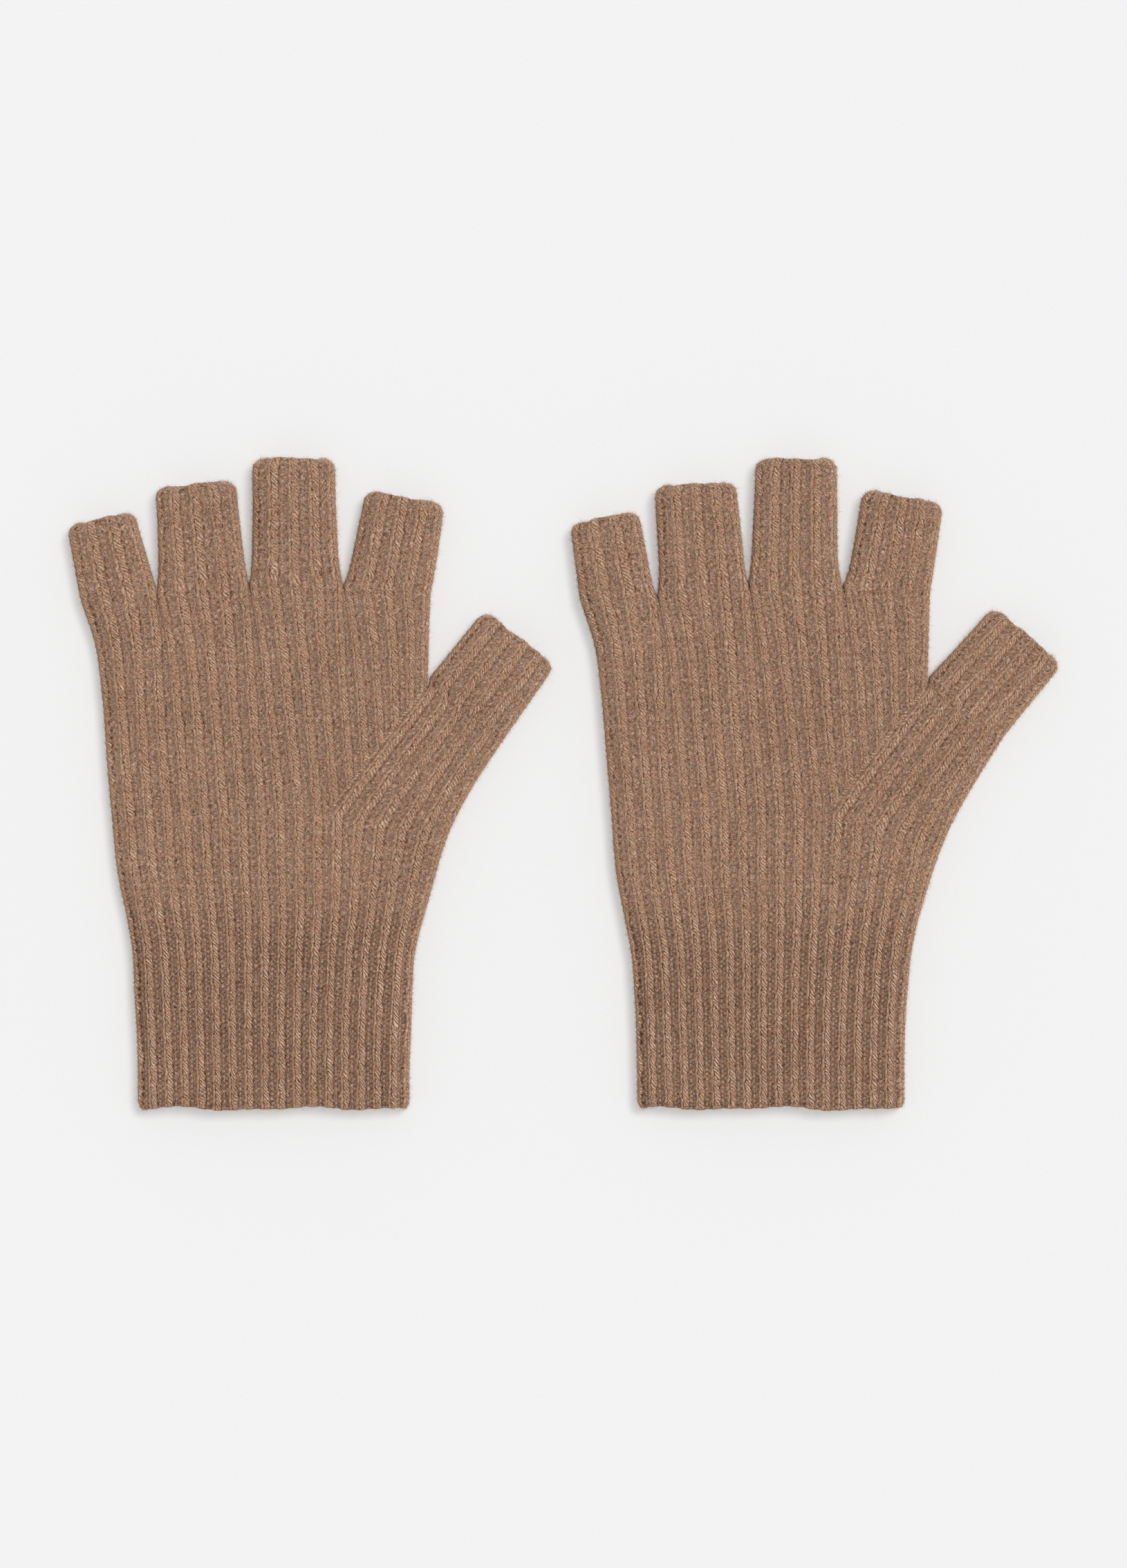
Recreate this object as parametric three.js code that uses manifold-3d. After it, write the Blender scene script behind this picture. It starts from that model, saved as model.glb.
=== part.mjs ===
// A pair of ribbed fingerless gloves, lying flat side by side with both thumbs toward +X.
// Millimetres. +Y runs from the cuffs to the fingers, +Z is up, the gloves rest on z = 0.
import * as THREE from 'three';
import { mergeVertices } from 'three/addons/utils/BufferGeometryUtils.js';
import Module from 'manifold-3d';

// ---- Driving dimensions -------------------------------------------------------------------

const FABRIC = 2.2;            // thickness of one knitted layer
const HOLLOW = 5.0;            // clear height left inside for the hand
const CLEARANCE = 0.3;         // gap left between neighbouring pieces
const THICKNESS = HOLLOW + 2 * FABRIC;

const GLOVE_SPACING = 144.4;   // centre line of one glove to the centre line of the other

const CUFF_LENGTH = 55;        // cast-on edge to the wrist line
const CUFF_EDGE_WIDTH = 77;    // flat width at the cast-on edge
const WRIST_WIDTH = 84;        // flat width at the wrist line
const PALM_WIDTH = 97;         // flat width just under the thumb crotch
const KNUCKLE_WIDTH = 100;     // flat width just under the fingers
const PALM_LENGTH = 95;        // wrist line to the little finger's crotch
const THUMB_CROTCH_HEIGHT = 67.5;  // wrist line to the thumb's crotch
const KNUCKLE_SHIFT = 5;       // how far the knuckles sit to the little finger side

const RIM_RADIUS = FABRIC / 2;  // half thickness of a cast-off edge
const SEAM_RADIUS = 0.6;       // half thickness of a linked seam
const SEAM_DEPTH = 0.65;       // how far a join seam's centre lies below the fabric's surface

const WRIST_Y = -38.8;
const CUFF_END_Y = WRIST_Y - CUFF_LENGTH;
const CROTCH_Y = WRIST_Y + PALM_LENGTH;
const THUMB_CROTCH_Y = WRIST_Y + THUMB_CROTCH_HEIGHT;

// Each finger tube: width where it leaves the hand and at its cast-off edge, and its length.
const FINGER_SIZES = {
  little_finger: { baseWidth: 22, tipWidth: 20.5, length: 22.8 },
  ring_finger: { baseWidth: 25, tipWidth: 23.4, length: 27.6 },
  middle_finger: { baseWidth: 25.2, tipWidth: 23.6, length: 32.6 },
  index_finger: { baseWidth: 24.4, tipWidth: 23.4, length: 26.5 },
  thumb: { baseWidth: 27, tipWidth: 25.4, length: 26.5 },
};
const FINGER_ORDER = ['little_finger', 'ring_finger', 'middle_finger', 'index_finger'];
const CROTCH_GAP = 1.2;                     // width of the fork between two neighbouring fingers
const CROTCH_DROP = 2.5;                    // how far the fork reaches below the base lines
const CROTCH_RISE = { little_finger: -1.6, ring_finger: 3, middle_finger: 5.2, index_finger: 0.6 };

// How each glove lies: the lean of every tube from straight ahead, in degrees toward the thumb.
const LAY = {
  left: { little_finger: -12.5, ring_finger: -5, middle_finger: -0.4, index_finger: 10, thumb: 37.5 },
  right: { little_finger: -10, ring_finger: -4, middle_finger: 0.8, index_finger: 9.5, thumb: 40.5 },
};

const COLOURS = { ribbed_cuff: 0x8a6c58, soft_rib: 0x93735d, cast_edge: 0xa07f68, seam: 0x7d5f4c };

// ---- Small geometry helpers ---------------------------------------------------------------

const wasm = await Module();
wasm.setup();

function weld(geometry) {
  geometry.deleteAttribute('normal');
  geometry.deleteAttribute('uv');
  return mergeVertices(geometry, 1e-4);
}

function toSolid(geometry) {
  const welded = weld(geometry);
  return new wasm.Manifold(new wasm.Mesh({
    numProp: 3,
    vertProperties: new Float32Array(welded.attributes.position.array),
    triVerts: new Uint32Array(welded.index.array),
  }));
}

function toGeometry(solid) {
  const mesh = solid.getMesh();
  const geometry = new THREE.BufferGeometry();
  geometry.setAttribute('position', new THREE.BufferAttribute(mesh.vertProperties, 3));
  geometry.setIndex(new THREE.BufferAttribute(mesh.triVerts, 1));
  return geometry;
}

function point(x, y) {
  return new THREE.Vector2(x, y);
}

function ahead(leanDegrees) {
  const lean = THREE.MathUtils.degToRad(leanDegrees);
  return point(Math.sin(lean), Math.cos(lean));
}

function across(leanDegrees) {
  const direction = ahead(leanDegrees);
  return point(direction.y, -direction.x);
}

// A slab with rounded sides: the outline is its widest level and the rounding is half its height.
function pillow(outline, height, bottom, inset) {
  const half = height / 2;
  const flat = 0.2;
  const geometry = new THREE.ExtrudeGeometry(new THREE.Shape(outline), {
    depth: flat,
    bevelThickness: half - flat / 2,
    bevelSize: half - flat / 2,
    bevelOffset: flat / 2 - half - inset,
    bevelSegments: 5,
    curveSegments: 6,
  });
  geometry.translate(0, 0, bottom + half - flat / 2);
  return toSolid(geometry);
}

function prism(outline, bottom = -20, top = 40) {
  const shape = new THREE.Shape(outline);
  const geometry = new THREE.ExtrudeGeometry(shape, { depth: top - bottom, bevelEnabled: false });
  geometry.translate(0, 0, bottom);
  return toSolid(geometry);
}

// ---- Plan of one glove, about its own centre line -----------------------------------------

// A tube's axis, its base line and its cast-off end, from where its base line is centred.
function tubeFrame(name, root, lean) {
  const size = FINGER_SIZES[name];
  return { name, root, lean, size, along: ahead(lean), side: across(lean) };
}

function onTube(tube, distance, sideways) {
  return tube.root.clone().addScaledVector(tube.along, distance).addScaledVector(tube.side, sideways);
}

function planTubes(lay) {
  const tubes = {};
  const total = FINGER_ORDER.reduce((sum, name) => sum + FINGER_SIZES[name].baseWidth, 0);
  const slack = (KNUCKLE_WIDTH + CROTCH_GAP - total) / FINGER_ORDER.length;
  let x = -KNUCKLE_SHIFT - KNUCKLE_WIDTH / 2;
  for (const name of FINGER_ORDER) {
    const width = FINGER_SIZES[name].baseWidth + slack;
    const root = point(x + (width - CROTCH_GAP) / 2, CROTCH_Y + CROTCH_RISE[name]);
    tubes[name] = tubeFrame(name, root, lay[name]);
    x += width;
  }
  const thumbSide = across(lay.thumb);
  const thumbRoot = point(-KNUCKLE_SHIFT + KNUCKLE_WIDTH / 2 + 0.5, THUMB_CROTCH_Y)
    .addScaledVector(thumbSide, FINGER_SIZES.thumb.baseWidth / 2)
    .addScaledVector(ahead(lay.thumb), 1.5);
  tubes.thumb = tubeFrame('thumb', thumbRoot, lay.thumb);
  return tubes;
}

// Corners of a tube from its base to past its end, first the -X side and then the +X side.
function tubeOutline(tube, beyond) {
  const { baseWidth, tipWidth, length } = tube.size;
  const taper = (baseWidth - tipWidth) / 2 / length;
  const end = length + beyond;
  const endHalf = baseWidth / 2 - taper * end;
  return [
    onTube(tube, -CROTCH_DROP, -baseWidth / 2),
    onTube(tube, end, -endHalf),
    onTube(tube, end, endHalf),
    onTube(tube, -CROTCH_DROP, baseWidth / 2),
  ];
}

// The whole glove as one outline, with every open end carried on by `beyond`.
function gloveOutline(tubes, beyond) {
  const wrist = WRIST_WIDTH / 2;
  const palmLeft = KNUCKLE_SHIFT / 2 + PALM_WIDTH / 2;
  const cuff = CUFF_EDGE_WIDTH / 2;
  const outline = [
    point(-cuff, CUFF_END_Y - beyond),
    point(-cuff - 1, CUFF_END_Y + CUFF_LENGTH * 0.65),
    point(-wrist, WRIST_Y),
    point(-wrist - 2.6, WRIST_Y + 8),
    point(-palmLeft + 1.6, WRIST_Y + PALM_LENGTH * 0.5),
    point(-palmLeft, WRIST_Y + PALM_LENGTH * 0.68),
  ];
  for (const name of FINGER_ORDER) {
    outline.push(...tubeOutline(tubes[name], beyond));
  }
  outline.push(point(-KNUCKLE_SHIFT + KNUCKLE_WIDTH / 2 - 0.6, THUMB_CROTCH_Y + 9));
  outline.push(point(-KNUCKLE_SHIFT + KNUCKLE_WIDTH / 2 - 0.4, THUMB_CROTCH_Y + 1));
  outline.push(...tubeOutline(tubes.thumb, beyond));
  outline.push(
    point(wrist + 13.4, WRIST_Y + 34),
    point(wrist + 6.2, WRIST_Y + 17),
    point(wrist + 1.4, WRIST_Y + 2),
    point(cuff + 1, CUFF_END_Y + CUFF_LENGTH * 0.65),
    point(cuff, CUFF_END_Y - beyond),
  );
  return outline;
}

// ---- Pieces -------------------------------------------------------------------------------

const materials = {};
for (const [name, colour] of Object.entries(COLOURS)) {
  materials[name] = { name, colour };
}

function addPiece(group, name, geometry, look, offset) {
  const material = new THREE.MeshStandardMaterial({ color: look.colour, roughness: 0.95 });
  material.name = look.name;
  geometry.translate(offset.x, offset.y, 0);
  const mesh = new THREE.Mesh(geometry, material);
  mesh.name = name;
  group.add(mesh);
}

// Plan area that belongs to one finger or the thumb, from its base line to where its edge begins.
function tubeRegion(tube, start, end) {
  const half = tube.size.baseWidth / 2 + CLEARANCE;
  return prism([
    onTube(tube, start, -half),
    onTube(tube, end, -half),
    onTube(tube, end, half),
    onTube(tube, start, half),
  ]);
}

// Everything on the far side of a tube's base line, which the hand gives up to that tube.
function beyondBase(tube) {
  return tubeRegion(tube, 0, tube.size.length + 40);
}

function acrossBand(low, high) {
  const half = KNUCKLE_WIDTH;
  return prism([point(-half, low), point(half, low), point(half, high), point(-half, high)]);
}

// The closed loop down the middle of the fabric around an open end.
class EdgeLoop extends THREE.Curve {
  constructor(centre, side, width) {
    super();
    this.centre = centre;
    this.side = side;
    this.radius = (HOLLOW + FABRIC) / 2;
    this.straight = width - THICKNESS;
  }

  getPoint(t) {
    const bend = Math.PI * this.radius;
    const total = 2 * (this.straight + bend);
    let distance = t * total;
    let flat = 0;
    let lift = 0;
    if (distance < this.straight) {
      flat = distance - this.straight / 2;
      lift = -this.radius;
    } else if (distance < this.straight + bend) {
      const turn = (distance - this.straight) / this.radius;
      flat = this.straight / 2 + this.radius * Math.sin(turn);
      lift = -this.radius * Math.cos(turn);
    } else if (distance < 2 * this.straight + bend) {
      flat = this.straight / 2 - (distance - this.straight - bend);
      lift = this.radius;
    } else {
      const turn = (distance - 2 * this.straight - bend) / this.radius;
      flat = -this.straight / 2 - this.radius * Math.sin(turn);
      lift = this.radius * Math.cos(turn);
    }
    const x = this.centre.x + this.side.x * flat;
    const y = this.centre.y + this.side.y * flat;
    return new THREE.Vector3(x, y, THICKNESS / 2 + lift);
  }
}

function castEdge(centre, side, width, segments) {
  const loop = new EdgeLoop(centre, side, width);
  return weld(new THREE.TubeGeometry(loop, segments, RIM_RADIUS, 8, true));
}

// A linked seam between two points: a straight round cord with plain ends.
function seamCord(points) {
  const curve = new THREE.CatmullRomCurve3(points);
  const round = new THREE.Shape();
  round.absarc(0, 0, SEAM_RADIUS, 0, 2 * Math.PI, false);
  return new THREE.ExtrudeGeometry(round, { steps: 12, extrudePath: curve, curveSegments: 5 });
}

// The line where the thumb's ribs are joined to the hand's, from the thumb's crotch to mid palm.
function thumbJoin(level) {
  const crotch = point(-KNUCKLE_SHIFT + KNUCKLE_WIDTH / 2 - 4.4, THUMB_CROTCH_Y - 3.4);
  const heel = point(crotch.x - 24, crotch.y - 33);
  const middle = crotch.clone().lerp(heel, 0.5).add(point(-0.6, 0.4));
  return [crotch, middle, heel].map((p) => new THREE.Vector3(p.x, p.y, level));
}

// The room a join seam lies in: the same path with a wider cord.
function joinGroove(level) {
  const curve = new THREE.CatmullRomCurve3(thumbJoin(level));
  const round = new THREE.Shape();
  round.absarc(0, 0, SEAM_RADIUS + CLEARANCE, 0, 2 * Math.PI, false);
  const long = new THREE.LineCurve3(curve.getPoint(0), curve.getPoint(1));
  const direction = long.getTangent(0).multiplyScalar(2 * CLEARANCE);
  const start = curve.getPoint(0).sub(direction);
  const end = curve.getPoint(1).add(direction);
  const path = new THREE.CatmullRomCurve3([start, curve.getPoint(0.5), end]);
  return toSolid(new THREE.ExtrudeGeometry(round, { steps: 12, extrudePath: path, curveSegments: 5 }));
}

function buildGlove(group, side, offset) {
  const tubes = planTubes(LAY[side]);
  const beyond = 12;
  const outline = gloveOutline(tubes, beyond);
  const skin = pillow(outline, THICKNESS, 0, 0);
  const room = pillow(gloveOutline(tubes, beyond * 2), HOLLOW, FABRIC, FABRIC);
  const fabric = skin.subtract(room);
  const edgeDepth = 2 * RIM_RADIUS;

  // cuff, wrist line at its upper end, its cast-on edge at the lower
  const cuffBottom = CUFF_END_Y + edgeDepth + CLEARANCE;
  const cuff = fabric.intersect(acrossBand(cuffBottom, WRIST_Y - CLEARANCE / 2));
  addPiece(group, `${side}_cuff`, toGeometry(cuff), materials.ribbed_cuff, offset);
  const cuffCentre = point(0, CUFF_END_Y + RIM_RADIUS);
  const cuffEdge = castEdge(cuffCentre, point(1, 0), CUFF_EDGE_WIDTH, 64);
  addPiece(group, `${side}_cuff_cast_on_edge`, cuffEdge, materials.cast_edge, offset);

  // hand: what is left above the wrist once every finger and the thumb is taken away
  let hand = fabric.intersect(acrossBand(WRIST_Y + CLEARANCE / 2, CROTCH_Y + PALM_LENGTH));
  for (const tube of Object.values(tubes)) {
    hand = hand.subtract(beyondBase(tube));
  }
  const upper = THICKNESS - SEAM_DEPTH;
  const lower = SEAM_DEPTH;
  hand = hand.subtract(joinGroove(upper)).subtract(joinGroove(lower));
  addPiece(group, `${side}_hand`, toGeometry(hand), materials.soft_rib, offset);
  addPiece(group, `${side}_thumb_join_palm`, weld(seamCord(thumbJoin(upper))), materials.seam, offset);
  addPiece(group, `${side}_thumb_join_back`, weld(seamCord(thumbJoin(lower))), materials.seam, offset);

  // fingers and thumb, each with its cast-off edge
  for (const tube of Object.values(tubes)) {
    const { length, tipWidth } = tube.size;
    const end = length - edgeDepth - CLEARANCE;
    const sleeve = fabric.intersect(tubeRegion(tube, CLEARANCE, end));
    addPiece(group, `${side}_${tube.name}`, toGeometry(sleeve), materials.soft_rib, offset);
    const centre = onTube(tube, length - RIM_RADIUS, 0);
    const edge = castEdge(centre, tube.side, tipWidth, 32);
    addPiece(group, `${side}_${tube.name}_cast_off_edge`, edge, materials.cast_edge, offset);
  }
}

// ---- Assembly -----------------------------------------------------------------------------

const gloves = new THREE.Group();
gloves.name = 'fingerless_gloves';
buildGlove(gloves, 'left', point(-GLOVE_SPACING / 2, 0));
buildGlove(gloves, 'right', point(GLOVE_SPACING / 2, 0));

// The origin is under the middle of the pair, on the surface it rests on.
const extent = new THREE.Box3().setFromObject(gloves);
const middle = extent.getCenter(new THREE.Vector3());
for (const piece of gloves.children) {
  piece.geometry.translate(-middle.x, -middle.y, -extent.min.z);
}

export default gloves;
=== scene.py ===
"""A pair of ribbed wool fingerless gloves laid flat on a pale surface, seen from straight above.

Lengths in this file are millimetres about each glove's own centre line, +Y toward the fingers,
until the meshes are made, when they become metres in the CAD frame.
"""

import math

import bpy
import numpy as np
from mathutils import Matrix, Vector


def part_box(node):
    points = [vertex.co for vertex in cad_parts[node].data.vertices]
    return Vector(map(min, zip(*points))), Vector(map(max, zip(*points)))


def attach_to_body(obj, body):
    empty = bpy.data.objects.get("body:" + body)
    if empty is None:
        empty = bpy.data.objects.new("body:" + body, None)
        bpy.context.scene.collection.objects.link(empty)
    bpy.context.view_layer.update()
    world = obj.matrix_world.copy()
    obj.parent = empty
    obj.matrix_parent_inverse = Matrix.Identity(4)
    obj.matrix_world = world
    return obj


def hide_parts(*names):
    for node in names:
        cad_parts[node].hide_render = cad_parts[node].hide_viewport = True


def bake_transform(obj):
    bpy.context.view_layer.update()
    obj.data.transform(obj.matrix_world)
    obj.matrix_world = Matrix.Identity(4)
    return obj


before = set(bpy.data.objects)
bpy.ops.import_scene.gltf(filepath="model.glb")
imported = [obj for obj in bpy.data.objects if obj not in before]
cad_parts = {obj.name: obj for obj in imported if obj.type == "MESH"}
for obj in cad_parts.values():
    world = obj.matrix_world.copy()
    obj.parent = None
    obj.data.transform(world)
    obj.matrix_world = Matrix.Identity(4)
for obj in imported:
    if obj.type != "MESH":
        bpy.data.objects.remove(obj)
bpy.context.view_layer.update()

MM = 0.001
SIDES = ("left", "right")
FIRST_SEED = 3  # the left glove's seed for everything uneven; the right glove takes the next one

# ---- Sizes of the fabric -------------------------------------------------------------------

FABRIC = 2.2  # thickness of one knitted layer
THICKNESS = 9.4  # both layers and the hollow between them
HALF = THICKNESS / 2
LINING_DEPTH = FABRIC - 0.2  # how far the inner face lies below the plain outline
CAST_EDGE = 2.4  # depth of a cast-off edge along its tube
CORNER = 4.0  # how round the corners of a cast-off end are
CORNER_REACH = 0.9  # how much of a full quarter turn such a corner makes
EDGE_WAVE = 0.28  # how far a cast-off edge wanders
CUFF_WAVE = 0.7  # and the looser cast-on edge of the cuff
RIM_CALM = 0.75  # how much of the ribs' relief the cast stitches take away at the rim

CUFF_COURSE = 1.44  # height of one row of stitches in the close cuff
HAND_COURSE = 2.2  # and in the looser hand
CUFF_RELIEF = 1.15  # how far a rib stands above the valley beside it
HAND_RELIEF = 0.95
SINK = 0.6  # how far the valleys between ribs lie below the plain outline
FOLD_HEIGHT = 0.25  # how much the fabric rises and falls where it lies unevenly
FOLD_SIZE = 38  # and how far apart its rises are
WRIST_FADE = 14  # the length over which the close cuff turns into the loose hand

RIB_WIDTH = 5.1
STROKE_PITCH = 1.06  # from one light stroke of yarn to the next, up a rib
STROKE_FALL = 5.6  # how far a stroke would fall over a whole rib width
LEG_LENGTH = 2.0  # one long segment of a stitch's left leg
BEADS_PER_RIB = 5  # how many of the beads between ribs would fit side by side over a whole rib

COLUMNS_PER_RIB = 10
ROWS_PER_COURSE = 4
INNER_STRIDE = 6  # the unseen inside is this many times coarser

# ---- Ribs and outline of a glove -----------------------------------------------------------

PALM_RIBS = 12  # ribs that run from the cuff straight up to the fingers
THUMB_RIBS = 6  # ribs that bend into the thumb
CUFF_RIBS = PALM_RIBS + THUMB_RIBS
FINGER_RIBS = {"little_finger": 4, "ring_finger": 5, "middle_finger": 5, "index_finger": 5}
FINGERS = tuple(FINGER_RIBS)
KNUCKLE_RIBS = sum(FINGER_RIBS.values())
TUBE_RIBS = {**FINGER_RIBS, "thumb": THUMB_RIBS}

WRIST_Y = -38.8
CUFF_END_Y = WRIST_Y - 56
KNUCKLE_Y = WRIST_Y + 95
THUMB_FORK_Y = WRIST_Y + 67.5
KNUCKLE_WIDTH = 100
KNUCKLE_SHIFT = 5  # how far the fingers stand to the little finger's side of the centre line
FORK_GAP = 1.2  # the clear space between two fingers at their base lines
FORK_DEPTH = 2.8  # how far the fork between two fingers reaches below their base lines
FORK_LENGTH = 6  # how far up a finger the round of its fork reaches

TUBE_SIZES = {  # width at the base, width at the cast-off edge, length
    "little_finger": (22, 20.5, 22.8),
    "ring_finger": (25, 23.4, 27.6),
    "middle_finger": (25.2, 23.6, 32.6),
    "index_finger": (24.4, 23.4, 26.5),
    "thumb": (27.8, 26, 26.5),
}
THUMB_STRETCH = {"left": -1.4, "right": 1.3}  # the two thumbs aren't knitted to quite the same length
THUMB_ROOT = (1.5, -1.2)  # where the thumb's base line starts from its fork: along it and across it
SPREAD = {"little_finger": -0.9, "ring_finger": -0.85, "middle_finger": -0.4, "index_finger": 0.9}
KNUCKLE_RISE = {"little_finger": -1.6, "ring_finger": 3, "middle_finger": 5.2, "index_finger": 0.6}
LEAN = {  # degrees to the thumb's side
    "left": {
        "little_finger": -12.5,
        "ring_finger": -5,
        "middle_finger": -0.4,
        "index_finger": 10,
        "thumb": 37.5,
    },
    "right": {
        "little_finger": -10,
        "ring_finger": -4,
        "middle_finger": 0.8,
        "index_finger": 9.5,
        "thumb": 40.5,
    },
}

# Sides of the cuff and palm, from the cast-on edge up.
LITTLE_SIDE = [
    (-38.4, -93.8), (-38.8, -80), (-39.6, -62), (-40.6, -48), (-42.4, -38.8),
    (-44.9, -26), (-46.6, -8), (-47.9, 8), (-49.4, 25), (-51.6, 40),
]
THUMB_SIDE = {
    "left": [
        (39.2, -93.8), (39.4, -75), (40.4, -58), (41.6, -47), (43.6, -38.8),
        (47.6, -25), (53.2, -10), (59.6, 2),
    ],
    "right": [
        (37.9, -93.8), (38.1, -75), (39.1, -58), (40.3, -47), (42.3, -38.8),
        (46.8, -25), (53, -10), (59.9, 2),
    ],
}
WRIST_POINT = 4  # which of the points above is on the wrist line
HEEL = (16, -9)  # where the thumb's ribs and the hand's ribs part
PULL_POWER = 3  # how late the hand's rows begin to follow the fingers' base lines
CREASE_POWER = 60  # how late its top begins to fall away at the forks and the outer corners
JOIN_SHEET = 1  # of a hand's sheets, the one that starts on the thumb join
HAND_SHEETS = 3


def side_x(points, at_y):
    """The x of a side at each height, as a smooth curve through its points."""
    x, y = np.array(points, float).T
    slope = np.gradient(x, y)
    i = np.clip(np.searchsorted(y, at_y) - 1, 0, len(y) - 2)
    h = y[i + 1] - y[i]
    t = (at_y - y[i]) / h
    low = (1 + 2 * t) * (1 - t) ** 2 * x[i] + t * (1 - t) ** 2 * h * slope[i]
    return low + t * t * (3 - 2 * t) * x[i + 1] + t * t * (t - 1) * h * slope[i + 1]


def side_point(points, y):
    return np.array([side_x(points, np.array([y]))[0], y])


def lengths_along(points):
    """The distance travelled up to each point of a line."""
    return np.concatenate([[0], np.cumsum(np.linalg.norm(np.diff(points, axis=0), axis=1))])


# ---- Plan of a glove's tubes ---------------------------------------------------------------


class Tube:
    """A finger or the thumb: where its base line is, which way it points and how big it is."""

    def __init__(self, name, root, lean, stretch=0.0):
        self.name = name
        self.root = np.array(root, float)
        angle = math.radians(lean)
        self.along = np.array([math.sin(angle), math.cos(angle)])
        self.side = np.array([self.along[1], -self.along[0]])
        self.base_width, self.tip_width, self.length = TUBE_SIZES[name]
        self.length += stretch
        # The corners are the tube's own; the base may end lower down, in a fork shared with the next.
        self.corners = [self.at(0, -self.base_width / 2), self.at(0, self.base_width / 2)]
        self.base = list(self.corners)

    def at(self, distance, sideways):
        return self.root + self.along * distance + self.side * sideways

    def ends(self, distance, reached=0.0):
        """Left and right edge of the tube at a distance from its base line, with rounded corners.
        Fabric that has turned back over the rim keeps the corner it reached."""
        share = distance / self.length
        into_corner = max(distance, reached) - self.length + CORNER
        turned = min(1.0, max(0.0, into_corner / CORNER))
        tuck = CORNER * (1 - math.sqrt(1 - CORNER_REACH * turned**2))
        forked = 1 - math.sqrt(1 - max(0.0, 1 - distance / FORK_LENGTH) ** 2)
        edges = []
        for sign, corner, base in zip((-1, 1), self.corners, self.base):
            tip = self.at(self.length, sign * self.tip_width / 2)
            edge = corner + (tip - corner) * share - self.side * sign * tuck
            edges.append(edge + (base - corner) * forked)
        return edges


def plan_tubes(side):
    """The five tubes of a glove, fingers first."""
    tubes = {}
    widths = sum(TUBE_SIZES[name][0] for name in FINGERS)
    slack = (KNUCKLE_WIDTH + FORK_GAP - widths) / len(FINGERS)
    x = -KNUCKLE_SHIFT - KNUCKLE_WIDTH / 2
    for name in FINGERS:
        width = TUBE_SIZES[name][0] + slack
        root = (x + (width - FORK_GAP) / 2 + SPREAD[name], KNUCKLE_Y + KNUCKLE_RISE[name])
        tubes[name] = Tube(name, root, LEAN[side][name])
        x += width
    lean = LEAN[side]["thumb"]
    at_fork = Tube("thumb", (KNUCKLE_WIDTH / 2 - KNUCKLE_SHIFT + 0.5, THUMB_FORK_Y), lean)
    root = at_fork.at(THUMB_ROOT[0], at_fork.base_width / 2 + THUMB_ROOT[1])
    tubes["thumb"] = Tube("thumb", root, lean, THUMB_STRETCH[side])
    # Neighbouring fingers share one point at their fork.
    for before, after in zip(FINGERS, FINGERS[1:]):
        shared = (tubes[before].base[1] + tubes[after].base[0]) / 2 - [0, FORK_DEPTH]
        tubes[before].base[1] = shared
        tubes[after].base[0] = shared
    return tubes


# ---- Cross-sections of the lying fabric ----------------------------------------------------


def section(left, right, share, left_angle=0.0, right_angle=0.0, sunk=0.0):
    """Points on the upper fabric between two points of the plan, evenly spaced along the fabric.

    An angle of 0 starts at the glove's outermost line, half way up; a right angle starts on top.
    sunk is how far below the outer surface the points lie. Returns x, y and the height above the
    middle of the glove.
    """
    across = right - left
    width = np.linalg.norm(across)
    across = across / width
    quarter = math.pi / 2
    flat = width - HALF * (math.cos(left_angle) + math.cos(right_angle))
    left_arc = HALF * (quarter - left_angle)
    right_arc = HALF * (quarter - right_angle)
    travelled = share * (left_arc + flat + right_arc)
    left_to_go = left_arc + flat + right_arc - travelled
    turn_left = left_angle + np.minimum(travelled, left_arc) / HALF
    turn_right = right_angle + np.minimum(left_to_go, right_arc) / HALF
    radius = HALF - sunk
    x = HALF * math.cos(left_angle) - radius * np.cos(turn_left)
    x = x + np.clip(travelled - left_arc, 0, flat) + radius * np.cos(turn_right)
    on_left = travelled < left_arc + flat / 2
    height = np.where(on_left, np.sin(turn_left), np.sin(turn_right)) * radius
    spot = left + np.outer(x, across)
    return np.column_stack([spot, height])


class Sheet:
    """A grid of fabric: points[row, column]. Each point has the count of ribs across to it, the
    length of fabric up to it and how far its rib stands out."""

    def __init__(self, piece, points, rib, travel, relief):
        self.piece = piece
        self.points = np.array(points, float)
        shape = self.points.shape[:2]
        self.rib = np.broadcast_to(rib, shape).astype(float)
        self.travel = np.broadcast_to(travel, shape).astype(float)
        self.relief = np.broadcast_to(relief, shape).astype(float)

    def under(self):
        """The same sheet on the underside of the glove."""
        points = self.points * [1, 1, -1]
        grids = [grid[:, ::-1] for grid in (points, self.rib, self.travel, self.relief)]
        return Sheet(self.piece, *grids)


def steps(length, pitch):
    """How many mesh rows a length of fabric takes, as a multiple of the inner stride."""
    return max(1, round(length / pitch * ROWS_PER_COURSE / INNER_STRIDE)) * INNER_STRIDE


def rib_shares(ribs):
    """Where the mesh columns of some ribs stand, from 0 at the first to 1 at the last."""
    return np.linspace(0, 1, ribs * COLUMNS_PER_RIB + 1)


def rolled_end(depth):
    """How far along its tube and how far below the outer surface each row of a cast edge lies:
    straight fabric and then a half turn over the rim, to the inside."""
    radius = FABRIC / 2
    straight = np.linspace(0, depth - radius, INNER_STRIDE + 1)
    turn = np.linspace(0, math.pi, INNER_STRIDE + 1)[1:]
    along = np.concatenate([straight, depth - radius + radius * np.sin(turn)])
    sunk = np.concatenate([np.zeros(len(straight)), radius * (1 - np.cos(turn))])
    return along, sunk


def edge_wave(rib, seed):
    """How far a cast edge is pushed out or drawn in at each rib, as a share of the most."""
    return (np.sin(rib * 1.9 + seed) + 0.6 * np.sin(rib * 3.7 + 2.1 * seed)) / 1.6


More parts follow.
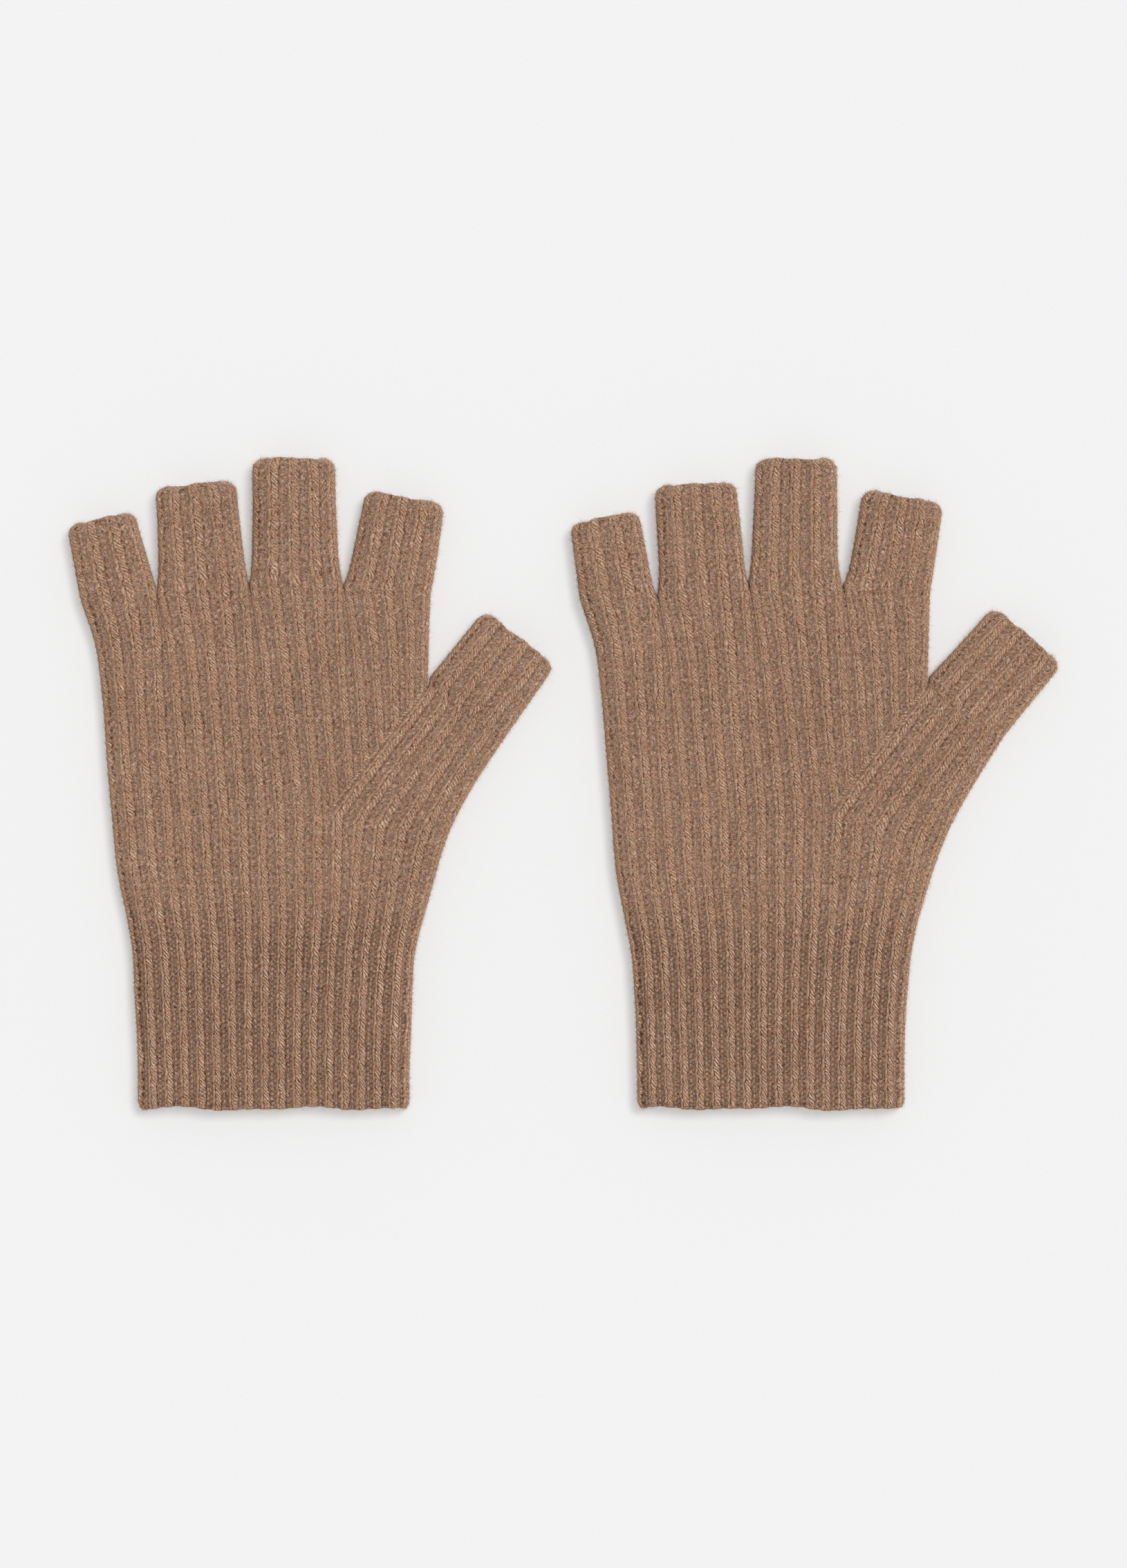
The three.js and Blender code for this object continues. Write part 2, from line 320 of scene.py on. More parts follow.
def edge_relief(relief, along, sunk):
    """The ribs calm down toward a cast edge and are gone where it has turned inside."""
    return relief * (1 - RIM_CALM * along / CAST_EDGE) * (1 - sunk / FABRIC)


# ---- Sheets of the cuff and the tubes ------------------------------------------------------


def cuff_sheet(side, piece, low, high, rows):
    share = rib_shares(CUFF_RIBS)
    heights = np.linspace(low, high, rows + 1)
    left_x = side_x(LITTLE_SIDE, heights)
    right_x = side_x(THUMB_SIDE[side], heights)
    points = [section(np.array([x0, y]), np.array([x1, y]), share)
              for y, x0, x1 in zip(heights, left_x, right_x)]
    near_wrist = np.clip((heights - WRIST_Y + WRIST_FADE / 2) / (WRIST_FADE / 2), 0, 1)
    relief = CUFF_RELIEF + (HAND_RELIEF - CUFF_RELIEF) * near_wrist
    return Sheet(piece, points, share * CUFF_RIBS, (heights - WRIST_Y)[:, None], relief[:, None])


def cuff_edge(side, piece, seed):
    share = rib_shares(CUFF_RIBS)
    rib = share * CUFF_RIBS
    wave = CUFF_WAVE * edge_wave(rib * 0.4, seed)  # slower than on the fingers
    along, sunk = (values[::-1] for values in rolled_end(CAST_EDGE))
    heights = CUFF_END_Y + CAST_EDGE - along
    points = []
    for y, s, a in zip(heights, sunk, along):
        left = side_point(LITTLE_SIDE, max(y, CUFF_END_Y))
        right = side_point(THUMB_SIDE[side], max(y, CUFF_END_Y))
        left[1] = right[1] = y
        row = section(left, right, share, sunk=s)
        row[:, 1] -= wave * a / CAST_EDGE
        points.append(row)
    travel = heights - sunk - WRIST_Y
    relief = edge_relief(CUFF_RELIEF, along, sunk)
    return Sheet(piece, points, rib, travel[:, None], relief[:, None])


def tube_sheet(piece, tube, start, end, rows, first_rib):
    share = rib_shares(TUBE_RIBS[tube.name])
    distances = np.linspace(start, end, rows + 1)
    points = [section(*tube.ends(d), share) for d in distances]
    rib = first_rib + share * TUBE_RIBS[tube.name]
    return Sheet(piece, points, rib, distances[:, None], HAND_RELIEF)


def finger_edge(piece, tube, first_rib, seed):
    share = rib_shares(TUBE_RIBS[tube.name])
    rib = first_rib + share * TUBE_RIBS[tube.name]
    wave = EDGE_WAVE * edge_wave(rib, seed)
    along, sunk = rolled_end(CAST_EDGE)
    body_end = tube.length - CAST_EDGE
    points = []
    for a, s in zip(along, sunk):
        reached = tube.length if s > FABRIC / 2 else 0.0
        row = section(*tube.ends(body_end + a, reached), share, sunk=s)
        row[:, :2] += np.outer(wave * a / CAST_EDGE, tube.along)
        points.append(row)
    travel = body_end + along + sunk
    relief = edge_relief(HAND_RELIEF, along, sunk)
    return Sheet(piece, points, rib, travel[:, None], relief[:, None])


# ---- Sheets of the hand --------------------------------------------------------------------


def knuckle_line(tubes):
    """The base lines of the four fingers, end to end."""
    lines = [section(*tubes[name].base, rib_shares(FINGER_RIBS[name])) for name in FINGERS]
    return np.vstack([lines[0]] + [line[1:] for line in lines[1:]])


def draw_to(grid, line, up):
    """Moves the rows of a grid more and more as up goes from 0 to 1, until the last is on a line."""
    shift = line - grid[-1]
    grid[:, :, :2] += (up**PULL_POWER)[:, None, None] * shift[None, :, :2]
    grid[:, :, 2] += (up**CREASE_POWER)[:, None] * shift[None, :, 2]


def palm_grid(side, line, foot, low_rows, high_rows):
    """Ribs that run the whole way up. The last one passes the thumb's ribs and then the ribs that
    start on the join."""
    heel = np.array(HEEL, float)
    corner, top = line[0][:2], line[-1][:2]
    share = rib_shares(PALM_RIBS)
    rows = []
    for y, up in zip(np.linspace(WRIST_Y, HEEL[1], low_rows + 1), np.arange(low_rows + 1) / low_rows):
        rows.append(section(side_point(LITTLE_SIDE, y), foot + (heel - foot) * up, share, 0.0, math.pi / 2))
    for up in np.arange(1, high_rows + 1) / high_rows:
        left = side_point(LITTLE_SIDE + [tuple(corner)], heel[1] + (corner[1] - heel[1]) * up)
        rows.append(section(left, heel + (top - heel) * up, share, 0.0, math.pi / 2))
    grid = np.array(rows)
    draw_to(grid, line, np.clip((np.arange(len(grid)) - low_rows) / high_rows, 0, 1))
    return grid


def join_grid(line, palm_edge):
    """Ribs that start on the thumb join and run up to the index finger's side. The first row is the
    join, and the first column is the palm's edge from the heel up."""
    fork = np.array([KNUCKLE_WIDTH / 2 - KNUCKLE_SHIFT - 0.2, THUMB_FORK_Y - 0.6])
    share = rib_shares(KNUCKLE_RIBS - PALM_RIBS)
    ups = np.linspace(0, 1, len(palm_edge))
    rows = []
    for up, left in zip(ups, palm_edge):
        rows.append(section(left[:2], fork + (line[-1][:2] - fork) * up, share, math.pi / 2, 0.0))
    grid = np.array(rows)
    draw_to(grid, line, ups)
    grid[:, 0] = palm_edge
    return grid


def thumb_grid(side, thumb, left_edge, foot_row):
    """Ribs that bend from the wrist into the thumb, beside a given left edge."""
    base_left, base_right = thumb.ends(0)
    last = left_edge[-1][:2]
    # The short way from the fork to the thumb's base line.
    ending = [[*(last + (base_left - last) * k / INNER_STRIDE), 0.0] for k in range(1, INNER_STRIDE + 1)]
    left_edge = np.vstack([left_edge, ending])
    outer = np.array(THUMB_SIDE[side][WRIST_POINT:] + [tuple(base_right)], float)
    outer_length = lengths_along(outer)
    inner_length = lengths_along(left_edge[:, :2])
    at = inner_length / inner_length[-1] * outer_length[-1]
    right_x = side_x(np.column_stack([outer[:, 0], outer_length]), at)
    right_y = side_x(np.column_stack([outer[:, 1], outer_length]), at)
    share = rib_shares(THUMB_RIBS)
    rows = []
    for left, x, y in zip(left_edge, right_x, right_y):
        start = math.asin(min(1.0, max(0.0, left[2] / HALF)))
        row = section(left[:2], np.array([x, y]), share, start, 0.0)
        row[0] = left
        rows.append(row)
    grid = np.array(rows)
    grid[0] = foot_row
    return grid


def hand_sheets(side, piece, tubes, wrist_row):
    """The upper fabric of the hand: the ribs to the fingers, the ribs that start on the thumb join,
    and the ribs that bend into the thumb."""
    columns = PALM_RIBS * COLUMNS_PER_RIB
    line = knuckle_line(tubes)
    low_rows = steps(HEEL[1] - WRIST_Y, HAND_COURSE)
    high_rows = steps(line[columns][1] - HEEL[1], HAND_COURSE)
    palm = palm_grid(side, line[: columns + 1], wrist_row[columns][:2], low_rows, high_rows)
    gusset = join_grid(line[columns:], palm[low_rows:, -1])
    left_edge = np.vstack([palm[:low_rows, -1], gusset[0]])
    bend = thumb_grid(side, tubes["thumb"], left_edge, wrist_row[columns:])

    palm_ribs = rib_shares(PALM_RIBS) * PALM_RIBS
    gusset_ribs = PALM_RIBS + rib_shares(KNUCKLE_RIBS - PALM_RIBS) * (KNUCKLE_RIBS - PALM_RIBS)
    bend_ribs = PALM_RIBS + rib_shares(THUMB_RIBS) * THUMB_RIBS
    bend_travel = lengths_along(bend[:, bend.shape[1] // 2, :2])
    return [
        Sheet(piece, palm, palm_ribs, palm[:, :, 1] - WRIST_Y, HAND_RELIEF),
        Sheet(piece, gusset, gusset_ribs, gusset[:, :, 1] - WRIST_Y, HAND_RELIEF),
        Sheet(piece, bend, bend_ribs, bend_travel[:, None], HAND_RELIEF),
    ]


# ---- Relief of the knitting ----------------------------------------------------------------


def smooth_window(x, low, high, soft):
    """1 between low and high, falling smoothly to 0 over soft on both sides."""
    up = np.clip((x - low + soft / 2) / soft, 0, 1)
    down = np.clip((high + soft / 2 - x) / soft, 0, 1)
    return (up * up * (3 - 2 * up)) * (down * down * (3 - 2 * down))


def knit_height(rib, travel):
    """From 0 in the valley between two ribs to about 1 on a rib's column of stitches."""
    across = rib - np.floor(rib)
    course = travel / np.where(travel < 0, CUFF_COURSE, HAND_COURSE)
    column = smooth_window(across, 0.18, 0.73, 0.20)
    stitch = 0.10 * np.cos(2 * math.pi * (course + 0.9 * across)) * column
    purl = 0.10 * np.cos(2 * math.pi * course) * (1 - column)
    groove = -0.20 * smooth_window(across, 0.32, 0.40, 0.08)
    return column + stitch + purl + groove


def fold_noise(points, seed, size):
    """A slow, smooth unevenness from six random waves, about 1 high."""
    rng = np.random.default_rng(seed)
    total = np.zeros(points.shape[:-1])
    for _ in range(6):
        direction = rng.normal(size=2)
        direction /= np.linalg.norm(direction)
        wave = rng.uniform(0.6, 1.4) * size
        phase = rng.uniform(0, 2 * math.pi)
        total += np.sin(points[..., :2] @ direction * 2 * math.pi / wave + phase)
    return total / 3


# ---- One glove's fabric --------------------------------------------------------------------


def glove_sheets(side, seed):
    """The plan of a glove's tubes and every grid of its upper fabric, named for its CAD node."""
    tubes = plan_tubes(side)
    cuff_low = CUFF_END_Y + CAST_EDGE
    cuff = cuff_sheet(side, f"{side}_cuff", cuff_low, WRIST_Y, steps(WRIST_Y - cuff_low, CUFF_COURSE))
    sheets = [cuff_edge(side, f"{side}_cuff_cast_on_edge", seed), cuff]
    sheets += hand_sheets(side, f"{side}_hand", tubes, cuff.points[-1])
    rib_count = 0
    for name, tube in tubes.items():
        body_end = tube.length - CAST_EDGE
        rows = steps(body_end, HAND_COURSE)
        first_rib = PALM_RIBS if name == "thumb" else rib_count
        sheets.append(tube_sheet(f"{side}_{name}", tube, 0, body_end, rows, first_rib))
        edge = f"{side}_{name}_cast_off_edge"
        sheets.append(finger_edge(edge, tube, first_rib, seed + rib_count))
        rib_count += TUBE_RIBS[name]
    return tubes, sheets


def weld(sheets):
    """One index per distinct point over all the sheets, so that neighbours share their edges."""
    points = np.vstack([s.points.reshape(-1, 3) for s in sheets])
    _, first, index = np.unique(np.round(points, 3), axis=0, return_index=True, return_inverse=True)
    return points[first], index.reshape(-1)


def quad_corners(grid):
    """The four corners of each cell of a grid, in order round the cell."""
    return np.stack([grid[:-1, :-1], grid[:-1, 1:], grid[1:, 1:], grid[1:, :-1]], axis=-1).reshape(-1, 4)


def point_normals(points, faces):
    a = points[faces[:, 2]] - points[faces[:, 0]]
    b = points[faces[:, 3]] - points[faces[:, 1]]
    cross = np.cross(a, b)
    normals = np.zeros_like(points)
    for corner in range(4):
        np.add.at(normals, faces[:, corner], cross)
    return normals / np.maximum(np.linalg.norm(normals, axis=1, keepdims=True), 1e-12)


class Glove:
    """The finished outer and inner surface of a glove, still in its own millimetres."""

    def __init__(self, side, seed):
        self.side = side
        self.tubes, upper = glove_sheets(side, seed)
        self.sheets = upper + [s.under() for s in upper]
        points, index = weld(self.sheets)
        self.index = []
        start = 0
        for s in self.sheets:
            count = s.points.shape[0] * s.points.shape[1]
            self.index.append(index[start : start + count].reshape(s.points.shape[:2]))
            start += count
        faces = np.vstack([quad_corners(i) for i in self.index])
        self.normals = point_normals(points, faces)
        height = self.stitch_heights(len(points)) + FOLD_HEIGHT * fold_noise(points, seed, FOLD_SIZE)
        self.outer = points + self.normals * (height - SINK)[:, None]
        # The table presses the underside flat.
        self.outer[:, 2] = np.maximum(self.outer[:, 2], -HALF)
        self.inner = points - self.normals * LINING_DEPTH

    def stitch_heights(self, count):
        """How far the knitting stands out at each point, the mean of the sheets that share it."""
        height = np.zeros(count)
        shared_by = np.zeros(count)
        for s, i in zip(self.sheets, self.index):
            np.add.at(height, i.ravel(), (knit_height(s.rib, s.travel) * s.relief).ravel())
            np.add.at(shared_by, i.ravel(), 1)
        return height / shared_by

    def of_pieces(self, names):
        """The sheets of some pieces, each with its point numbers."""
        return [(s, i) for s, i in zip(self.sheets, self.index) if s.piece in names]

    def join_line(self, face):
        """The thumb join's points on the palm or the back, from the heel to the fork."""
        hand = [i for _, i in self.of_pieces([f"{self.side}_hand"])]
        if face == "palm":
            return self.outer[hand[JOIN_SHEET][0]]
        return self.outer[hand[HAND_SHEETS + JOIN_SHEET][0][::-1]]


# ---- Meshes --------------------------------------------------------------------------------


def new_object(name, points, faces):
    """An object with millimetre points and quads, in metres and smooth shaded."""
    mesh = bpy.data.meshes.new(name)
    mesh.vertices.add(len(points))
    mesh.vertices.foreach_set("co", (points * MM).astype(np.float32).ravel())
    mesh.loops.add(faces.size)
    mesh.loops.foreach_set("vertex_index", faces.astype(np.int32).ravel())
    mesh.polygons.add(len(faces))
    mesh.polygons.foreach_set("loop_start", np.arange(0, faces.size, 4, dtype=np.int32))
    mesh.update(calc_edges=True)
    mesh.polygons.foreach_set("use_smooth", np.ones(len(faces), bool))
    made = bpy.data.objects.new(name, mesh)
    bpy.context.scene.collection.objects.link(made)
    return made


def add_knit_layer(mesh, ribs, travel):
    """Keeps the ribs across and the millimetres up at each face corner, for the material."""
    knit = mesh.uv_layers.new(name="knit")
    values = np.column_stack([ribs.ravel(), travel.ravel()])
    knit.data.foreach_set("uv", values.astype(np.float32).ravel())


def add_closeness(mesh, y):
    """Marks the cuff's close knitting with 1 and the looser hand with 0."""
    closeness = np.clip((WRIST_Y + WRIST_FADE / 2 - y) / WRIST_FADE, 0, 1)
    close_knit = mesh.attributes.new("close_knit", "FLOAT", "POINT")
    close_knit.data.foreach_set("value", closeness.astype(np.float32))


def both_faces(chosen, values):
    """Quads of the outer face and then of the inner face, which is coarser and faces the other way."""
    outer = [quad_corners(values(s, i)) for s, i in chosen]
    inner = [quad_corners(values(s, i)[::INNER_STRIDE, ::INNER_STRIDE])[:, ::-1] for s, i in chosen]
    return np.vstack(outer), np.vstack(inner)


def piece_mesh(glove, name, offset):
    """One knitted piece: its outer face and its coarser inner face."""
    chosen = glove.of_pieces([name])
    outer_faces, inner_faces = both_faces(chosen, lambda s, i: i)
    faces = np.vstack([outer_faces, inner_faces + len(glove.outer)])
    used, compact = np.unique(faces, return_inverse=True)
    points = np.vstack([glove.outer, glove.inner]) + [*offset, HALF]
    piece = new_object(name + "_knit", points[used], compact.reshape(faces.shape))
    ribs = np.vstack(both_faces(chosen, lambda s, i: s.rib))
    travel = np.vstack(both_faces(chosen, lambda s, i: s.travel))
    add_knit_layer(piece.data, ribs, travel)
    add_closeness(piece.data, np.tile(glove.outer[:, 1], 2)[used])
    piece.data.materials.append(knit_wool)
    return piece


# ---- Loose fibres --------------------------------------------------------------------------

FIBRES_PER_MM2 = 1.4
OUTLINE_SHARE = 10.0  # how many times denser the fibres stand where they show against the table
UNDERSIDE_SHARE = 0.25  # how much of the usual density the underside has
SIDEWAYS = 0.45  # a face whose normal rises less than this is part of the outline
DOWNWARD = -0.5  # and one whose normal falls below this is part of the underside
FIBRE_LENGTH = (0.4, 1.7)
FIBRE_WIDTH = 0.055
FIBRE_JOINTS = 3  # points along one fibre
FIBRE_LIFT = (0.1, 1.3)  # how steeply a fibre stands, from almost flat to almost upright
FIBRE_CURL = 0.35
FIBRE_DROOP = 0.15  # how much every fibre curls back to the fabric
FIBRE_TAPER = 0.7  # how much of its width a fibre loses by its tip
ROOT_DEPTH = 0.05
TABLE_CLEARANCE = 0.02
# Lighter than the knitted yarn: mixed dyes, and a painted highlight for the light the fuzz catches at the
# outline; the shares lean to the lightest tone.
FIBRE_TONES_AND_HIGHLIGHT = ["#D2B199", "#B8937A", "#9A7862", "#EAD2BF"]
TONE_SHARES = (0.35, 0.27, 0.12, 0.26)


def unit(vectors):
    return vectors / np.linalg.norm(vectors, axis=1, keepdims=True)


def fibre_roots(glove, nodes, rng):
    """Random places on the fabric of some pieces, with the way out of it."""
    faces = np.vstack([quad_corners(i) for _, i in glove.of_pieces(nodes)])
    corner = glove.outer[faces]
    cross = np.cross(corner[:, 2] - corner[:, 0], corner[:, 3] - corner[:, 1])
    area = np.linalg.norm(cross, axis=1) / 2
    normal = glove.normals[faces].mean(axis=1)
    density = np.where(normal[:, 2] < SIDEWAYS, OUTLINE_SHARE, 1.0)
    density = np.where(normal[:, 2] < DOWNWARD, UNDERSIDE_SHARE, density)
    wanted = area * density
    count = int(FIBRES_PER_MM2 * wanted.sum())
    chosen = rng.choice(len(faces), count, p=wanted / wanted.sum())
    across, up = rng.random((count, 2, 1)).transpose(1, 0, 2)
    low_edge = corner[chosen, 0] * (1 - across) + corner[chosen, 1] * across
    high_edge = corner[chosen, 3] * (1 - across) + corner[chosen, 2] * across
    return low_edge * (1 - up) + high_edge * up, normal[chosen]


def fibre_points(root, out, rng):
    """The edge points of thin curved ribbons that stand out of the fabric, root to tip."""
    count = len(root)
    stray = rng.normal(size=(count, 3))
    stray -= out * (stray * out).sum(1, keepdims=True)
    heading = unit(unit(stray) + out * rng.uniform(*FIBRE_LIFT, (count, 1)))
    curl = rng.normal(size=(count, 3)) * FIBRE_CURL - out * FIBRE_DROOP
    shortest, longest = FIBRE_LENGTH
    length = shortest + (longest - shortest) * rng.random((count, 1)) ** 2
    wide = unit(np.cross(heading, rng.normal(size=(count, 3)))) * FIBRE_WIDTH / 2
    points = []
    for t in np.linspace(0, 1, FIBRE_JOINTS):
        spine = root + (heading * t + curl * t * t) * length - out * ROOT_DEPTH
        taper = 1 - FIBRE_TAPER * t
        points += [spine - wide * taper, spine + wide * taper]
    points = np.stack(points, axis=1)
    points[..., 2] = np.maximum(points[..., 2], -HALF + TABLE_CLEARANCE)
    return points


def fuzz_mesh(glove, nodes, name, offset, seed):
    """The fibres that stand out of some pieces, each in one of a few tones."""
    rng = np.random.default_rng(seed)
    points = fibre_points(*fibre_roots(glove, nodes, rng), rng) + [*offset, HALF]
    count = len(points)
    quads = np.array([[2 * k, 2 * k + 1, 2 * k + 3, 2 * k + 2] for k in range(FIBRE_JOINTS - 1)])
    faces = (np.arange(count)[:, None, None] * 2 * FIBRE_JOINTS + quads[None]).reshape(-1, 4)
    fuzz = new_object(name, points.reshape(-1, 3), faces)
    tone = rng.choice(len(fibre_wools), count, p=TONE_SHARES)
    per_face = np.repeat(tone, FIBRE_JOINTS - 1).astype(np.int32)
    fuzz.data.polygons.foreach_set("material_index", per_face)
    for material in fibre_wools:
        fuzz.data.materials.append(material)
    return fuzz


# ---- Thumb join ----------------------------------------------------------------------------

JOIN_RADIUS = 0.75
JOIN_FLATNESS = 0.6  # how high the cord stands for its width
JOIN_SIDES = 10
JOIN_SHORT_BY = 4  # how many mesh points before the fork the cord ends
JOIN_CALM = 9  # how many neighbouring points its line is averaged over
JOIN_TAPER = 1.5  # the length over which its ends grow thin


def join_mesh(glove, face, name, offset):
    """The row of joining stitches along the thumb join: a cord half sunk in the fabric."""
    path = glove.join_line(face)[:-JOIN_SHORT_BY]
    padded = np.pad(path, ((JOIN_CALM // 2, JOIN_CALM // 2), (0, 0)), mode="edge")
    kernel = np.ones(JOIN_CALM) / JOIN_CALM
    path = np.column_stack([np.convolve(padded[:, k], kernel, mode="valid") for k in range(3)])
    lift = np.array([0, 0, 1.0 if face == "palm" else -1.0])
    sideways = np.cross(unit(np.gradient(path, axis=0)), lift)
    travelled = lengths_along(path)
    from_end = np.minimum(1, np.minimum(travelled, travelled[-1] - travelled) / JOIN_TAPER)
    swell = 0.85 + 0.15 * np.cos(2 * math.pi * travelled / HAND_COURSE)
    radius = JOIN_RADIUS * swell * (0.3 + 0.7 * from_end)
    turn = np.linspace(0, 2 * math.pi, JOIN_SIDES + 1)[:-1]
    out = sideways[:, None] * np.cos(turn)[None, :, None]
    out = out + lift * JOIN_FLATNESS * np.sin(turn)[None, :, None]
    rings = path[:, None] + radius[:, None, None] * out + [*offset, HALF]
    rings[..., 2] = np.maximum(rings[..., 2], 0)

    index = np.arange(len(path) * JOIN_SIDES).reshape(-1, JOIN_SIDES)
    closed = np.concatenate([index, index[:, :1]], axis=1)
    cord = new_object(name, rings.reshape(-1, 3), quad_corners(closed))
    # The cord takes the strokes of the upper part of one rib.
    rib = np.broadcast_to(np.linspace(0.3, 0.9, JOIN_SIDES + 1), closed.shape)
    rows = np.broadcast_to(travelled[:, None], closed.shape)
    add_knit_layer(cord.data, quad_corners(rib), quad_corners(rows))
    cord.data.materials.append(knit_wool)
    return cord


# ---- Materials -----------------------------------------------------------------------------


def linear(hex_colour):
    """An sRGB colour written as hex, as the linear RGBA that shaders take."""
    parts = [int(hex_colour[k : k + 2], 16) / 255 for k in (1, 3, 5)]
    return [p / 12.92 if p <= 0.04045 else ((p + 0.055) / 1.055) ** 2.4 for p in parts] + [1.0]


def new_material(name):
    material = bpy.data.materials.new(name)
    material.use_nodes = True
    material.node_tree.nodes.clear()
    return material, material.node_tree


def add(tree, kind, settings=None, **inputs):
    """Adds a node, sets its own properties, and sets or links its inputs. An input is given by its
    name, with _ for a space, or by its number as i0, i1 and so on."""
    node = tree.nodes.new(kind)
    for key, value in (settings or {}).items():
        setattr(node, key, value)
    for key, value in inputs.items():
        numbered = key[0] == "i" and key[1:].isdigit()
        socket = node.inputs[int(key[1:]) if numbered else key.replace("_", " ")]
        if isinstance(value, bpy.types.NodeSocket):
            tree.links.new(value, socket)
        else:
            socket.default_value = value
    return node


def calc(tree, operation, *values):
    """A number worked out from sockets or plain numbers."""
    inputs = {f"i{k}": v for k, v in enumerate(values)}
    return add(tree, "ShaderNodeMath", {"operation": operation}, **inputs).outputs[0]


def product(tree, first, *others):
    for other in others:
        first = calc(tree, "MULTIPLY", first, other)
    return first


def weighted_sum(tree, start, parts):
    """start plus each part times its weight."""
    for value, weight in parts:
        start = calc(tree, "MULTIPLY_ADD", value, weight, start)
    return start


def smooth_step(tree, value, low, high, at_low=0.0, at_high=1.0):
    return add(tree, "ShaderNodeMapRange", {"interpolation_type": "SMOOTHSTEP"}, Value=value,
               From_Min=low, From_Max=high, To_Min=at_low, To_Max=at_high).outputs[0]


def window(tree, value, low, high, soft):
    """1 between low and high, falling smoothly to 0 over soft on both sides."""
    rise = smooth_step(tree, value, low - soft / 2, low + soft / 2)
    fall = smooth_step(tree, value, high - soft / 2, high + soft / 2, 1.0, 0.0)
    return product(tree, rise, fall)


def saw(tree, value):
    """0 at each whole number, rising evenly to 1 half way to the next."""
    return calc(tree, "MULTIPLY", calc(tree, "PINGPONG", value, 0.5), 2.0)


def noise(tree, place, size_mm, detail=2.0, roughness=0.5, distortion=0.0):
    """Noise about 0.5 whose lumps are about size_mm across."""
    return add(tree, "ShaderNodeTexNoise", {"noise_dimensions": "3D"}, Vector=place, Scale=1000 / size_mm,
               Detail=detail, Roughness=roughness, Distortion=distortion).outputs["Fac"]


def centred(tree, value, strength):
    """Noise about 0.5, as strength either side of 0."""
    return calc(tree, "MULTIPLY_ADD", value, 2 * strength, -strength)


def ramp_colours(tree, value, stops):
    node = add(tree, "ShaderNodeValToRGB", Fac=value)
    elements = node.color_ramp.elements
    while len(elements) < len(stops):
        elements.new(0.5)
    for element, (position, colour) in zip(elements, stops):
        element.position = position
        element.color = linear(colour)
    return node.outputs["Color"]


def each_its_own(tree, rib, count, low, high):
    """A random strength between two limits for every stroke, told apart by its rib and its count."""
    whole = [calc(tree, "FLOOR", value) for value in (rib, count)]
    cell = add(tree, "ShaderNodeCombineXYZ", X=whole[0], Y=whole[1]).outputs[0]
    chance = add(tree, "ShaderNodeTexWhiteNoise", {"noise_dimensions": "2D"}, Vector=cell).outputs["Value"]
    return calc(tree, "MULTIPLY_ADD", chance, high - low, low)


def stretched_noise(tree, fabric, angle, length_mm, width_mm):
    """Noise drawn out along one direction of the fabric, like parted threads."""
    scale = (1 / length_mm, 1 / width_mm, 1)
    turned = add(tree, "ShaderNodeMapping", Vector=fabric, Rotation=(0, 0, math.radians(angle)), Scale=scale)
    return add(tree, "ShaderNodeTexNoise", Vector=turned.outputs[0], Scale=1.0, Detail=2.0,
               Roughness=0.7).outputs["Fac"]


# Where the parts of a stitch lie across one rib, which goes from 0 to 1.
LEFT_GAP = (0.10, 0.155)
LEFT_LEG = (0.175, 0.315)
MIDDLE_GAP = (0.33, 0.375)
STROKES = (0.38, 0.69)
RIGHT_GAP = (0.70, 0.77)
WHOLE_COLUMN = (0.18, 0.76)
BELOW = -1.0  # the low end of a window that is open below
ABOVE = 2.0  # the high end of a window that is open above

CAMEL = [(0.0, "#4A3124"), (0.22, "#765642"), (0.45, "#A17F68"), (0.70, "#CBA68E"), (1.0, "#F6DCC6")]
MIDDLE_CAMEL = 0.54  # the place on that scale that the pattern is added to


def ply_strokes(tree, rib, across, travel):
    """Light strokes that fall to the right, one to each ply of yarn, and the shadows between them, both
    painted into the colour: a painted highlight on each ply and painted shade between plies.
    """
    slope = STROKE_FALL / STROKE_PITCH
    slant = calc(tree, "MULTIPLY_ADD", across, slope, calc(tree, "DIVIDE", travel, STROKE_PITCH))
    ply = saw(tree, slant)
    column = window(tree, across, *STROKES, 0.11)
    shadow = product(tree, window(tree, ply, BELOW, 0.22, 0.40), column)
    light = product(tree, window(tree, ply, 0.55, ABOVE, 0.50), column)
    return product(tree, light, each_its_own(tree, rib, slant, 0.45, 1.55)), shadow


def left_legs(tree, rib, across, travel):
    """The left leg of the stitches: long light segments, a little apart, each leaning left; their lightness
    is a painted highlight on the yarn of the leg.
    """
    lean = calc(tree, "MULTIPLY_ADD", across, -4.0, calc(tree, "DIVIDE", travel, LEG_LENGTH))
    segment = window(tree, calc(tree, "PINGPONG", lean, 0.5), 0.12, ABOVE, 0.20)
    segment = product(tree, segment, each_its_own(tree, rib, lean, 0.55, 1.3))
    return product(tree, window(tree, across, *LEFT_LEG, 0.08), segment)


def shaded_gaps(tree, across, travel):
    """Painted shade in dotted lines between leg and strokes and beside the strokes, and a faint one beside
    the leg.
    """
    dots = saw(tree, calc(tree, "DIVIDE", travel, HAND_COURSE))
    lines = calc(tree, "ADD", window(tree, across, *MIDDLE_GAP, 0.05), window(tree, across, *RIGHT_GAP, 0.09))
    lines = product(tree, lines, calc(tree, "MULTIPLY_ADD", dots, 1.4, 0.3))
    return calc(tree, "MULTIPLY_ADD", window(tree, across, *LEFT_GAP, 0.06), 0.35, lines)


